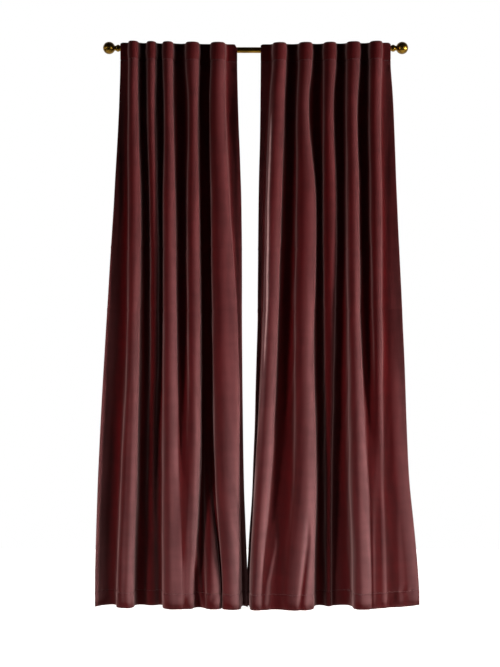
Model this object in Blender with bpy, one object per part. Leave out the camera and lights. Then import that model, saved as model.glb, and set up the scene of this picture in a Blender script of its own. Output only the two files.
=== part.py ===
"""A pair of velvet curtains hung by back tabs from one brass rod with ball finials.

Metres, +Z up. The curtains face -Y and the wall is on the +Y side. The origin is on the rod's axis at
mid-span. Heights on the cloth are given as drops, the distance below the rod's axis.
"""

import math
from typing import NamedTuple

import bmesh
import bpy
import numpy as np

MM = 0.001
SHARP_ANGLE = math.radians(40)

# Rod: a 25 mm tube that sags under the cloth between its two ends.
ROD_RADIUS = 0.0125
ROD_HALF_SPAN = 0.5917
ROD_SAG = 0.008
ROD_STATIONS = 19
ROD_BEVEL_STEPS = 6

# Finials: a collar bead against the rod's end, a neck and a ball.
FIT_GAP = 0.0003
COLLAR_FACE_RADIUS = 0.0125
COLLAR_RADIUS = 0.0160
COLLAR_LENGTH = 0.0140
NECK_RADIUS = 0.0112
NECK_LENGTH = 0.0070
BALL_RADIUS = 0.0266
FINIAL_SIDES = 22
BALL_ARC_POINTS = 9
COLLAR_ARC_POINTS = 5

# Cloth: each panel is cut 1.067 m wide and hangs 2.44 m from its top edge to its hem.
PANEL_WIDTH = 1.067
TOP_RISE = 0.021
HEM_DROP = 2.420
CLOTH_THICKNESS = 0.0022
BAND_DEPTH = 0.075
BAND_MIDDLE_ROW = 0.020
BAND_THICKNESS = 0.0030
HEM_DEPTH = 0.065
HEM_THICKNESS = 0.0030
SEAM_STEP = 0.004
BACK_FACE_AT_ROD = -0.0132
BAND_SWELL = 0.0026
CREST_DROOP = 0.006
SHOULDER_DROOP = 0.004
DROOP_FADE = 0.30

# Back tabs: cloth loops that carry the heading band on the rod.
TAB_WIDTH = 0.028
TAB_THICKNESS = 0.0015
TAB_INNER_RADIUS = 0.0129
TAB_LOW_ANGLE = math.radians(-27.5)
TAB_ARC_STEPS = 8

# Shape of one fold's section, from the valley by the wall to the crest. It goes from a soft wave where the
# wall rises by the first share of the fold depth to a boxy fold where it rises by the second.
BOX_POWER = 0.90
WALL_SHARES = (0.35, 0.95)
SOFTNESS = (1.0, 0.12)
SOFT_STEEPNESS = 0.70
END_VALLEY_SHARE = 0.70
HALF_FOLD_STEPS = 6
EDGE_STEPS = 4
FINE_STEPS = 24
DEPTH_RANGE = (0.02, 0.16)
DEPTH_HALVINGS = 40
CREASE_FLOOR = 0.25

# The drops at which the tables below give their values.
LEVELS = (0.055, 0.20, 0.65, 1.30, 1.85, 2.41)
BACK_SHIFT = (0.000, 0.012, 0.026, 0.034, 0.038, 0.038)

# Drops of the mesh rows between the band's seam and the hem's seam.
BODY_ROWS = (0.10, 0.20, 0.36, 0.55, 0.80, 1.05, 1.30, 1.55, 1.78, 1.96, 2.10, 2.24)

VELVET_COLOUR = (0.075, 0.012, 0.015, 1.0)
TAB_COLOUR = (0.055, 0.010, 0.012, 1.0)
BRASS_COLOUR = (0.42, 0.28, 0.08, 1.0)


class Fold(NamedTuple):
    """One forward fold, with its values at LEVELS."""

    name: str
    left: tuple  # left wall's x in mm
    right: tuple  # right wall's x in mm
    reach: tuple  # share of the full fold depth at the crest
    groove: tuple  # the same share at the bottom of the valley on its right


class Crease(NamedTuple):
    """A small ridge (positive height) or trough that runs down the cloth, in mm."""

    name: str
    drops: tuple
    x: tuple
    width: float
    height: float


class Panel(NamedTuple):
    """One curtain panel, with its values at LEVELS, its folds from left to right and its creases."""

    name: str
    left_edge: tuple  # x in mm
    right_edge: tuple
    left_reach: tuple  # the side edge's share of the full fold depth
    right_reach: tuple
    first_groove: tuple  # the same share at the bottom of the valley beside the left edge
    corner_drops: tuple  # how far the left and right top corners are rounded off, in m
    folds: tuple
    creases: tuple


LEFT_FOLDS = (
    Fold(
        "a",
        left=(-547, -550, -550, -556, -580, -600),
        right=(-505, -507, -498, -503, -513, -528),
        reach=(0.95, 0.95, 0.95, 0.95, 0.92, 0.90),
        groove=(0.00, 0.00, 0.00, 0.00, 0.00, 0.00),
    ),
    Fold(
        "b",
        left=(-468, -468, -459, -459, -472, -477),
        right=(-429, -433, -425, -425, -438, -433),
        reach=(0.95, 0.93, 0.78, 0.42, 0.20, 0.16),
        groove=(0.00, 0.00, 0.00, 0.00, 0.00, 0.00),
    ),
    Fold(
        "c",
        left=(-399, -395, -399, -399, -401, -401),
        right=(-356, -356, -347, -340, -331, -318),
        reach=(1.00, 1.00, 1.00, 1.00, 1.00, 1.00),
        groove=(0.00, 0.00, 0.04, 0.34, 0.84, 0.93),
    ),
    Fold(
        "d",
        left=(-300, -291, -296, -291, -292, -308),
        right=(-244, -248, -244, -238, -241, -270),
        reach=(1.00, 0.97, 0.95, 0.95, 0.95, 0.88),
        groove=(0.00, 0.00, 0.00, 0.03, 0.12, 0.45),
    ),
    Fold(
        "small fold beside e",
        left=(-225, -225, -225, -220, -222, -214),
        right=(-212, -212, -210, -206, -200, -149),
        reach=(0.00, 0.00, 0.00, 0.04, 0.24, 0.92),
        groove=(0.00, 0.00, 0.00, 0.03, 0.14, 0.58),
    ),
    Fold(
        "e",
        left=(-192, -197, -192, -184, -173, -141),
        right=(-132, -132, -113, -76, -70, -63),
        reach=(1.00, 1.00, 1.00, 1.00, 1.00, 1.00),
        groove=(0.00, 0.00, 0.28, 0.66, 0.56, 0.05),
    ),
)

RIGHT_FOLDS = (
    Fold(
        "f",
        left=(75, 64, 47, 29, -2, -25),
        right=(131, 126, 113, 92, 68, 27),
        reach=(1.00, 1.00, 1.00, 1.00, 1.00, 0.95),
        groove=(0.00, 0.00, 0.05, 0.22, 0.50, 0.74),
    ),
    Fold(
        "g",
        left=(187, 182, 178, 170, 165, 125),
        right=(243, 230, 260, 251, 262, 251),
        reach=(1.00, 1.00, 1.00, 1.00, 1.00, 1.00),
        groove=(0.00, 0.00, 0.00, 0.00, 0.00, 0.00),
    ),
    Fold(
        "h",
        left=(294, 294, 294, 299, 301, 303),
        right=(346, 337, 350, 342, 333, 333),
        reach=(0.95, 0.92, 0.80, 0.52, 0.36, 0.26),
        groove=(0.00, 0.00, 0.00, 0.00, 0.00, 0.00),
    ),
    Fold(
        "i",
        left=(393, 393, 395, 402, 408, 421),
        right=(449, 441, 447, 455, 478, 490),
        reach=(1.00, 1.00, 1.00, 1.00, 1.00, 1.00),
        groove=(0.00, 0.00, 0.08, 0.38, 0.76, 0.85),
    ),
    Fold(
        "j",
        left=(492, 492, 497, 508, 514, 518),
        right=(544, 540, 544, 547, 554, 570),
        reach=(1.00, 0.98, 0.92, 0.84, 0.70, 0.74),
        groove=(0.00, 0.08, 0.28, 0.34, 0.48, 0.52),
    ),
)

LEFT_CREASES = (
    Crease("outer fold split", (1.40, 1.52, 1.96, 2.39), (-534, -537, -554, -568), 15, -5),
    Crease("small fold at the hem", (2.10, 2.22, 2.35, 2.41), (-262, -257, -240, -222), 12, 12),
)

RIGHT_CREASES = (
    Crease("second ridge by the middle", (2.02, 2.15, 2.30, 2.41), (86, 83, 53, 42), 16, 10),
    Crease("trough on the broad fold", (1.98, 2.13, 2.35, 2.41), (226, 224, 200, 192), 12, -10),
    Crease("soft ridge by the outer edge", (1.20, 1.70, 2.10, 2.40), (598, 602, 606, 612), 30, 8),
)

PANELS = (
    Panel(
        "panel_left",
        left_edge=(-586, -590, -612, -651, -679, -694),
        right_edge=(-81, -78, -63, -59, -52, -35),
        left_reach=(0.00, 0.14, 0.50, 0.62, 0.64, 0.62),
        right_reach=(0.00, 0.14, 0.38, 0.66, 0.58, 0.28),
        first_groove=(0.00, 0.00, 0.05, 0.10, 0.10, 0.10),
        corner_drops=(0.004, 0.020),
        folds=LEFT_FOLDS,
        creases=LEFT_CREASES,
    ),
    Panel(
        "panel_right",
        left_edge=(23, 22, 14, 6, -11, -39),
        right_edge=(585, 594, 611, 641, 663, 712),
        left_reach=(0.00, 0.14, 0.35, 0.40, 0.25, 0.00),
        right_reach=(0.00, 0.15, 0.46, 0.50, 0.42, 0.20),
        first_groove=(0.00, 0.08, 0.22, 0.24, 0.12, 0.00),
        corner_drops=(0.004, 0.006),
        folds=RIGHT_FOLDS,
        creases=RIGHT_CREASES,
    ),
)


def clear_scene():
    for obj in list(bpy.data.objects):
        bpy.data.objects.remove(obj, do_unlink=True)


def make_material(name, colour, roughness, metallic, sheen=0.0):
    material = bpy.data.materials.new(name)
    material.use_nodes = True
    shader = material.node_tree.nodes["Principled BSDF"]
    shader.inputs["Base Color"].default_value = colour
    shader.inputs["Roughness"].default_value = roughness
    shader.inputs["Metallic"].default_value = metallic
    shader.inputs["Sheen Weight"].default_value = sheen
    return material


def object_from_bmesh(name, bm, material):
    bmesh.ops.recalc_face_normals(bm, faces=bm.faces)
    mesh = bpy.data.meshes.new(name)
    bm.to_mesh(mesh)
    bm.free()
    mesh.materials.append(material)
    mesh.shade_smooth()
    mesh.set_sharp_from_angle(angle=SHARP_ANGLE)
    obj = bpy.data.objects.new(name, mesh)
    bpy.context.scene.collection.objects.link(obj)
    return obj


def rod_height(x):
    """Height of the rod's axis at x, zero at mid-span."""
    return ROD_SAG * (x / ROD_HALF_SPAN) ** 2


def rod_slope(x):
    return 2 * ROD_SAG * x / ROD_HALF_SPAN**2


def build_rod(material):
    curve = bpy.data.curves.new("rod", "CURVE")
    curve.dimensions = "3D"
    curve.bevel_depth = ROD_RADIUS
    curve.bevel_resolution = ROD_BEVEL_STEPS
    curve.use_fill_caps = True
    spline = curve.splines.new("POLY")
    spline.points.add(ROD_STATIONS - 1)
    for point, x in zip(spline.points, np.linspace(-ROD_HALF_SPAN, ROD_HALF_SPAN, ROD_STATIONS)):
        point.co = (x, 0.0, rod_height(x), 1.0)
    curve.materials.append(material)
    obj = bpy.data.objects.new("rod", curve)
    bpy.context.scene.collection.objects.link(obj)
    return obj


def finial_profile():
    """(distance from the rod's end, radius) pairs of the turned outline."""
    profile = [(0.0, COLLAR_FACE_RADIUS)]
    middle = COLLAR_LENGTH / 2
    for step in range(1, COLLAR_ARC_POINTS + 1):
        turn = math.pi * step / (COLLAR_ARC_POINTS + 1)
        base = COLLAR_FACE_RADIUS + (NECK_RADIUS - COLLAR_FACE_RADIUS) * step / (COLLAR_ARC_POINTS + 1)
        radius = base + (COLLAR_RADIUS - COLLAR_FACE_RADIUS) * math.sin(turn)
        profile.append((middle * (1 - math.cos(turn)), radius))
    profile.append((COLLAR_LENGTH, NECK_RADIUS))
    neck_end = COLLAR_LENGTH + NECK_LENGTH
    root_angle = math.asin(NECK_RADIUS / BALL_RADIUS)
    centre = neck_end + BALL_RADIUS * math.cos(root_angle)
    for step in range(BALL_ARC_POINTS):
        angle = root_angle + (math.pi - root_angle) * step / BALL_ARC_POINTS
        profile.append((centre - BALL_RADIUS * math.cos(angle), BALL_RADIUS * math.sin(angle)))
    return profile, centre + BALL_RADIUS


def build_finial(name, side, material):
    """A finial turned about the X axis, standing off the rod's end on the given side, -1 or 1."""
    profile, tip = finial_profile()
    bm = bmesh.new()
    rings = []
    turns = [2 * math.pi * k / FINIAL_SIDES for k in range(FINIAL_SIDES)]
    for distance, radius in profile:
        x = side * distance
        rings.append([bm.verts.new((x, radius * math.cos(a), radius * math.sin(a))) for a in turns])
    for near, far in zip(rings, rings[1:]):
        for k in range(FINIAL_SIDES):
            following = (k + 1) % FINIAL_SIDES
            bm.faces.new((near[k], near[following], far[following], far[k]))
    end = bm.verts.new((side * tip, 0.0, 0.0))
    for k in range(FINIAL_SIDES):
        bm.faces.new((rings[-1][k], rings[-1][(k + 1) % FINIAL_SIDES], end))
    bm.faces.new(rings[0])
    obj = object_from_bmesh(name, bm, material)
    x = side * (ROD_HALF_SPAN + FIT_GAP)
    obj.location = (x, 0.0, rod_height(x))
    obj.rotation_euler = (0.0, -math.atan(rod_slope(x)), 0.0)
    return obj


def level_value(values, drop):
    """Value at a drop on a smooth curve through a table row, held level past both ends."""
    levels = np.array(LEVELS)
    values = np.array(values, float)
    slopes = np.gradient(values, levels)
    slopes[0] = slopes[-1] = 0.0
    drop = min(max(drop, levels[0]), levels[-1])
    i = min(int(np.searchsorted(levels, drop, side="right")) - 1, len(levels) - 2)
    span = levels[i + 1] - levels[i]
    t = (drop - levels[i]) / span
    near = values[i] * (1 + 2 * t) * (1 - t) ** 2 + slopes[i] * span * t * (1 - t) ** 2
    far = values[i + 1] * t * t * (3 - 2 * t) + slopes[i + 1] * span * t * t * (t - 1)
    return near + far


def half_fold(valley, wall_x, crest, s):
    """(x, reach) from a valley's bottom at s = 0 by the wall at s = 0.5 to the crest at s = 1."""
    (valley_x, valley_reach), (crest_x, crest_reach) = valley, crest
    rise = crest_reach - valley_reach
    soft = np.interp(rise, WALL_SHARES, SOFTNESS)
    middle = (valley_reach + crest_reach) / 2
    half = rise / 2
    sine = np.clip(np.sin(np.pi * s), 0, 1)
    cosine = np.cos(np.pi * s)
    inward = sine**BOX_POWER
    near_valley = valley_x + (wall_x - valley_x) * inward
    box_x = np.where(s <= 0.5, near_valley, crest_x - (crest_x - wall_x) * inward)
    box_reach = middle - half * np.sign(cosine) * np.abs(cosine) ** BOX_POWER
    lean = wall_x - (valley_x + crest_x) / 2
    steep = min(rise, SOFT_STEEPNESS) * (crest_x - valley_x)
    soft_x = valley_x + (crest_x - valley_x) * s + lean * sine**2
    soft_x += steep * np.sin(2 * np.pi * s) / (2 * np.pi)
    soft_reach = middle - half * cosine
    return (1 - soft) * box_x + soft * soft_x, (1 - soft) * box_reach + soft * soft_reach


def edge_strip(edge, valley, s):
    """(x, reach) from a side edge at s = 0 to the valley beside it at s = 1."""
    (edge_x, edge_reach), (valley_x, valley_reach) = edge, valley
    rise = 1 - np.sin(np.pi * s / 2)
    return edge_x + (valley_x - edge_x) * s, valley_reach + (edge_reach - valley_reach) * rise


def band_swell(drop):
    """How much wider than its table each side of a fold is where the stiff heading band holds it."""
    from_middle = drop - (BAND_DEPTH / 2 - TOP_RISE)
    return BAND_SWELL * math.exp(-((from_middle / (BAND_DEPTH / 3)) ** 2))


def wall_places(fold, drop):
    """x of a fold's left and right walls at a drop, in m."""
    swell = band_swell(drop)
    return level_value(fold.left, drop) * MM - swell, level_value(fold.right, drop) * MM + swell


def section(panel, drop, fold_steps, edge_steps):
    """(x in m, reach) across the whole panel at a drop, from its left edge to its right edge."""
    walls = [wall_places(fold, drop) for fold in panel.folds]
    grooves = [level_value(panel.first_groove, drop)]
    grooves += [level_value(fold.groove, drop) for fold in panel.folds]
    left_x = level_value(panel.left_edge, drop) * MM
    right_x = level_value(panel.right_edge, drop) * MM
    valley_xs = [left_x + END_VALLEY_SHARE * (walls[0][0] - left_x)]
    valley_xs += [(near[1] + far[0]) / 2 for near, far in zip(walls, walls[1:])]
    valley_xs.append(right_x + END_VALLEY_SHARE * (walls[-1][1] - right_x))
    valleys = list(zip(valley_xs, grooves))

    along_edge = np.linspace(0, 1, edge_steps + 1)
    along_fold = np.linspace(0, 1, fold_steps + 1)
    left_edge = (left_x, level_value(panel.left_reach, drop))
    pieces = [edge_strip(left_edge, valleys[0], along_edge)]
    for k, (fold, (left_wall, right_wall)) in enumerate(zip(panel.folds, walls)):
        crest = ((left_wall + right_wall) / 2, level_value(fold.reach, drop))
        pieces.append(half_fold(valleys[k], left_wall, crest, along_fold[1:]))
        pieces.append(half_fold(valleys[k + 1], right_wall, crest, along_fold[::-1][1:]))
    right_edge = (right_x, level_value(panel.right_reach, drop))
    pieces.append(edge_strip(right_edge, valleys[-1], along_edge[::-1][1:]))
    return np.concatenate([p[0] for p in pieces]), np.concatenate([p[1] for p in pieces])


def fold_depth(panel, drop):
    """The full fold depth at which the section takes up the panel's whole flat width."""
    x, reach = section(panel, drop, FINE_STEPS, FINE_STEPS)
    low, high = DEPTH_RANGE
    for _ in range(DEPTH_HALVINGS):
        depth = (low + high) / 2
        if np.hypot(np.diff(x), np.diff(reach) * depth).sum() < PANEL_WIDTH:
            low = depth
        else:
            high = depth
    return depth


def crease_lift(panel, drop, x, reach):
    """How far the creases push each point of a section forward, in m."""
    lift = np.zeros_like(x)
    forward = np.clip((reach - CREASE_FLOOR) / CREASE_FLOOR, 0, 1)
    for crease in panel.creases:
        if drop <= crease.drops[0]:
            continue
        across = x / MM - np.interp(drop, crease.drops, crease.x)
        onset = min(1.0, (drop - crease.drops[0]) / (crease.drops[1] - crease.drops[0]))
        lift += onset * crease.height * MM * np.exp(-((across / crease.width) ** 2)) * forward
    return lift


def cloth_thickness(drop):
    if drop <= BAND_DEPTH - TOP_RISE:
        return BAND_THICKNESS
    if drop >= HEM_DROP - HEM_DEPTH:
        return HEM_THICKNESS
    return CLOTH_THICKNESS


def panel_rows(panel):
    """Front and back points of each mesh row, from the top edge to the hem."""
    seam = BAND_DEPTH - TOP_RISE
    hem_seam = HEM_DROP - HEM_DEPTH
    heading_rows = (-TOP_RISE, BAND_MIDDLE_ROW, seam, seam + SEAM_STEP)
    drops = (*heading_rows, *BODY_ROWS, hem_seam - SEAM_STEP, hem_seam, HEM_DROP)
    heading_x = section(panel, 0.0, HALF_FOLD_STEPS, EDGE_STEPS)[0]
    hang = rod_height(heading_x)
    rows = []
    for drop in drops:
        x, reach = section(panel, drop, HALF_FOLD_STEPS, EDGE_STEPS)
        middle_at_rod = BACK_FACE_AT_ROD - BAND_THICKNESS / 2
        y = middle_at_rod + level_value(BACK_SHIFT, drop) - fold_depth(panel, drop) * reach
        y -= crease_lift(panel, drop, x, reach)
        shoulder = np.clip(1 - np.abs(2 * reach - 1), 0, 1) ** 2
        fade = max(0.0, 1 - (drop + TOP_RISE) / DROOP_FADE)
        droop = (CREST_DROOP * reach + SHOULDER_DROOP * shoulder) * fade
        z = -drop + hang - droop
        along = np.stack([np.gradient(x), np.gradient(y)])
        along /= np.hypot(*along)
        half = cloth_thickness(drop) / 2
        front = np.stack([x + along[1] * half, y - along[0] * half, z], axis=1)
        back = np.stack([x - along[1] * half, y + along[0] * half, z], axis=1)
        if not rows:
            for side, corner_drop in zip((0, -1), panel.corner_drops):
                front[side, 2] -= corner_drop
                back[side, 2] -= corner_drop
        rows.append((front, back))
    return rows


def build_panel(panel, material):
    """A panel's sheet: a front and a back skin that follow the folds, closed round all four edges."""
    bm = bmesh.new()
    fronts = []
    backs = []
    for front, back in panel_rows(panel):
        fronts.append([bm.verts.new(point) for point in front])
        backs.append([bm.verts.new(point) for point in back])
    last = len(fronts[0]) - 1
    for r in range(len(fronts) - 1):
        for c in range(last):
            bm.faces.new((fronts[r][c], fronts[r + 1][c], fronts[r + 1][c + 1], fronts[r][c + 1]))
            bm.faces.new((backs[r][c], backs[r][c + 1], backs[r + 1][c + 1], backs[r + 1][c]))
        for c in (0, last):
            bm.faces.new((fronts[r][c], backs[r][c], backs[r + 1][c], fronts[r + 1][c]))
    for r in (0, -1):
        for c in range(last):
            bm.faces.new((fronts[r][c], fronts[r][c + 1], backs[r][c + 1], backs[r][c]))
    return object_from_bmesh(panel.name, bm, material)


def tab_outline():
    """(y, z) of a tab's section about the rod's axis: over the rod, down behind it and back to the band."""
    angles = np.linspace(math.pi / 2, TAB_LOW_ANGLE, TAB_ARC_STEPS + 1)
    sewn_y = BACK_FACE_AT_ROD + FIT_GAP
    sides = []
    for radius in (TAB_INNER_RADIUS + TAB_THICKNESS, TAB_INNER_RADIUS):
        arc = [(radius * math.cos(a), radius * math.sin(a)) for a in angles]
        run = (arc[-1][0] - sewn_y) / math.sin(-TAB_LOW_ANGLE)
        foot_z = arc[-1][1] - run * math.cos(TAB_LOW_ANGLE)
        sides.append([(sewn_y, radius), *arc, (sewn_y, foot_z)])
    outer, inner = sides
    return outer + inner[::-1]


def build_tab(name, centre_x, material):
    bm = bmesh.new()
    ends = []
    for x in (centre_x - TAB_WIDTH / 2, centre_x + TAB_WIDTH / 2):
        ends.append([bm.verts.new((x, y, z + rod_height(x))) for y, z in tab_outline()])
    count = len(ends[0])
    for k in range(count):
        following = (k + 1) % count
        bm.faces.new((ends[0][k], ends[0][following], ends[1][following], ends[1][k]))
    half = count // 2
    for end in ends:
        for k in range(half - 1):
            bm.faces.new((end[k], end[k + 1], end[count - 2 - k], end[count - 1 - k]))
    return object_from_bmesh(name, bm, material)


def tab_places(panel):
    """The x of each tab: the middle of each flat stretch of the heading between folds and edges."""
    walls = [panel.left_edge[0]]
    for fold in panel.folds:
        if fold.reach[0]:
            walls += [fold.left[0], fold.right[0]]
    walls.append(panel.right_edge[0])
    return [(left + right) / 2 * MM for left, right in zip(walls[::2], walls[1::2])]


def main():
    clear_scene()
    brass = make_material("antique_brass", BRASS_COLOUR, roughness=0.35, metallic=1.0)
    velvet = make_material("maroon_velvet", VELVET_COLOUR, roughness=0.85, metallic=0.0, sheen=0.6)
    tab_cloth = make_material("tab_cloth", TAB_COLOUR, roughness=0.90, metallic=0.0)
    build_rod(brass)
    build_finial("finial_left", -1, brass)
    build_finial("finial_right", 1, brass)
    for panel in PANELS:
        build_panel(panel, velvet)
        side = panel.name.removeprefix("panel_")
        for number, x in enumerate(tab_places(panel), start=1):
            build_tab(f"tab_{side}_{number}", x, tab_cloth)


main()
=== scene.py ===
"""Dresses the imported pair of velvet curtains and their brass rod, and sets up a plain pale studio.

The curtains face -Y. The origin is on the rod's axis at mid-span, and a drop is a distance below that axis.
A point of a panel's cloth is named by u, the distance across the flat cloth from its left edge, and by
its drop.
"""

import logging
import math
from dataclasses import dataclass, field
from enum import Enum
from typing import Iterable, Sequence

import bpy
import numpy as np
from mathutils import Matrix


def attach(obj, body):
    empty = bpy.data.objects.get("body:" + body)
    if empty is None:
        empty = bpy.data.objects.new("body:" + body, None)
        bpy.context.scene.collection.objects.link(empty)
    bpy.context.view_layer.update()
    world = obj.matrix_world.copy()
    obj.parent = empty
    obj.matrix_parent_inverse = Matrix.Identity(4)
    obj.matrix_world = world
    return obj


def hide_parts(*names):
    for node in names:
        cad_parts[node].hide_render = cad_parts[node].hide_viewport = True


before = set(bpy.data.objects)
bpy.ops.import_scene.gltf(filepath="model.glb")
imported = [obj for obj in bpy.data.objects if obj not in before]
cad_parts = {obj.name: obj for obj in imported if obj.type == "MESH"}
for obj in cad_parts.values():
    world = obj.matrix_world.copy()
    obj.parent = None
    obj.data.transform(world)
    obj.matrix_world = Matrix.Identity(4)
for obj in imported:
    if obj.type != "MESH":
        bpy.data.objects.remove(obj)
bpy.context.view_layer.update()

BODY = "root"
MM = 0.001
FIT_GAP = 0.0003

LEVELS = (0.055, 0.20, 0.65, 1.30, 1.85, 2.41)  # drops of the panel tables' six values, in metres
WAVE_SPREAD = (0.5, 1.6)  # least and most turns of a seeded wave in one usual length
NO_LENGTH = 1e-9

Colour = tuple[float, float, float, float]
Row = tuple[float, ...]
Pair = tuple[float, float]
Socket = bpy.types.NodeSocket

log = logging.getLogger("curtains")


class Side(Enum):
    """Which of the two panels or rod ends a piece belongs to."""

    LEFT = "left"
    RIGHT = "right"

    @property
    def sign(self) -> int:
        """-1 on the left and 1 on the right."""
        return -1 if self is Side.LEFT else 1


class Face(Enum):
    """Which face of the cloth a stitch line shows on."""

    FRONT = 1
    BACK = -1


class Grain(Enum):
    """Which way the ribs of a tape or thread run; the value scales its pattern along x, y and z."""

    TWIST = (1.0, 0.3, 1.0)
    TWILL = (1.0, 1.0, 0.0)


# Mesh helpers


def mesh_object(
    name: str,
    points: np.ndarray,
    quads: np.ndarray,
    uv_maps: dict[str, np.ndarray] | None = None,
) -> bpy.types.Object:
    """Makes a smooth-shaded object from arrays.

    Args:
        name: The new object's name.
        points: Vertex places, one row each.
        quads: Vertex numbers of each four-sided face.
        uv_maps: Two values of each vertex for every named UV map, or None.

    Returns:
        The object, linked to the scene.
    """
    mesh = bpy.data.meshes.new(name)
    mesh.vertices.add(len(points))
    mesh.vertices.foreach_set("co", np.asarray(points, np.float32).ravel())
    mesh.loops.add(quads.size)
    mesh.loops.foreach_set("vertex_index", quads.astype(np.int32).ravel())
    mesh.polygons.add(len(quads))
    mesh.polygons.foreach_set("loop_start", np.arange(0, quads.size, 4, dtype=np.int32))
    for label, uv in (uv_maps or {}).items():
        layer = mesh.uv_layers.new(name=label)
        layer.data.foreach_set("uv", np.asarray(uv, np.float32)[quads.ravel()].ravel())
    mesh.update()
    mesh.validate()
    mesh.shade_smooth()
    obj = bpy.data.objects.new(name, mesh)
    bpy.context.scene.collection.objects.link(obj)
    return obj


def turned_quads(rings: int, sides: int) -> np.ndarray:
    """Quads that join rings of points into a closed-round skin.

    Args:
        rings: How many rings there are.
        sides: How many points a ring has.

    Returns:
        The vertex numbers of each quad.
    """
    ring, k = np.meshgrid(np.arange(rings - 1), np.arange(sides), indexing="ij")
    following = (k + 1) % sides
    near, far = ring * sides, (ring + 1) * sides
    return np.stack([near + k, near + following, far + following, far + k], axis=-1).reshape(-1, 4)


def smooth_step(value: np.ndarray | float) -> np.ndarray | float:
    """A smooth rise from 0 to 1 as value goes from 0 to 1."""
    t = np.clip(value, 0.0, 1.0)
    return t * t * (3 - 2 * t)


def bell(value: np.ndarray | float) -> np.ndarray | float:
    """A smooth bump of height 1 at 0 that has faded at 2."""
    return np.exp(-np.square(value))


def unit(vectors: np.ndarray) -> np.ndarray:
    """The vectors at length 1; one of no length stays so."""
    return vectors / np.maximum(np.linalg.norm(vectors, axis=-1, keepdims=True), NO_LENGTH)


def level_value(values: Row, drop: float) -> float:
    """Reads a table row at a drop, on a smooth curve held level past both ends.

    Args:
        values: The row's values at the drops in LEVELS.
        drop: Distance below the rod's axis in metres.

    Returns:
        The value at that drop.
    """
    places = np.array(LEVELS)
    heights = np.array(values, float)
    slopes = np.gradient(heights, places)
    slopes[0] = slopes[-1] = 0.0
    drop = min(max(drop, places[0]), places[-1])
    i = min(int(np.searchsorted(places, drop, side="right")) - 1, len(places) - 2)
    span = places[i + 1] - places[i]
    t = (drop - places[i]) / span
    near = heights[i] * (1 + 2 * t) * (1 - t) ** 2 + slopes[i] * span * t * (1 - t) ** 2
    far = heights[i + 1] * t * t * (3 - 2 * t) + slopes[i + 1] * span * t * t * (t - 1)
    return float(near + far)


def wander(
    seed: int, x: np.ndarray, y: np.ndarray, x_scale: float, y_scale: float, waves: int = 7
) -> np.ndarray:
    """A smooth seeded unevenness between about -1 and 1.

    Args:
        seed: Which unevenness.
        x: First coordinate in metres.
        y: Second coordinate in metres.
        x_scale: Usual length of a wave along x in metres.
        y_scale: Usual length of a wave along y in metres.
        waves: How many waves are added.

    Returns:
        The unevenness at each point.
    """
    random = np.random.default_rng(seed)
    total = np.zeros(np.broadcast(x, y).shape)
    for _ in range(waves):
        turn_x, turn_y = random.uniform(*WAVE_SPREAD, 2) * random.choice((-1, 1), 2)
        phase = random.uniform(0, 2 * math.pi)
        total = total + np.sin(2 * math.pi * (turn_x * x / x_scale + turn_y * y / y_scale) + phase)
    return total / math.sqrt(waves * 2)


# Finishes


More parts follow.
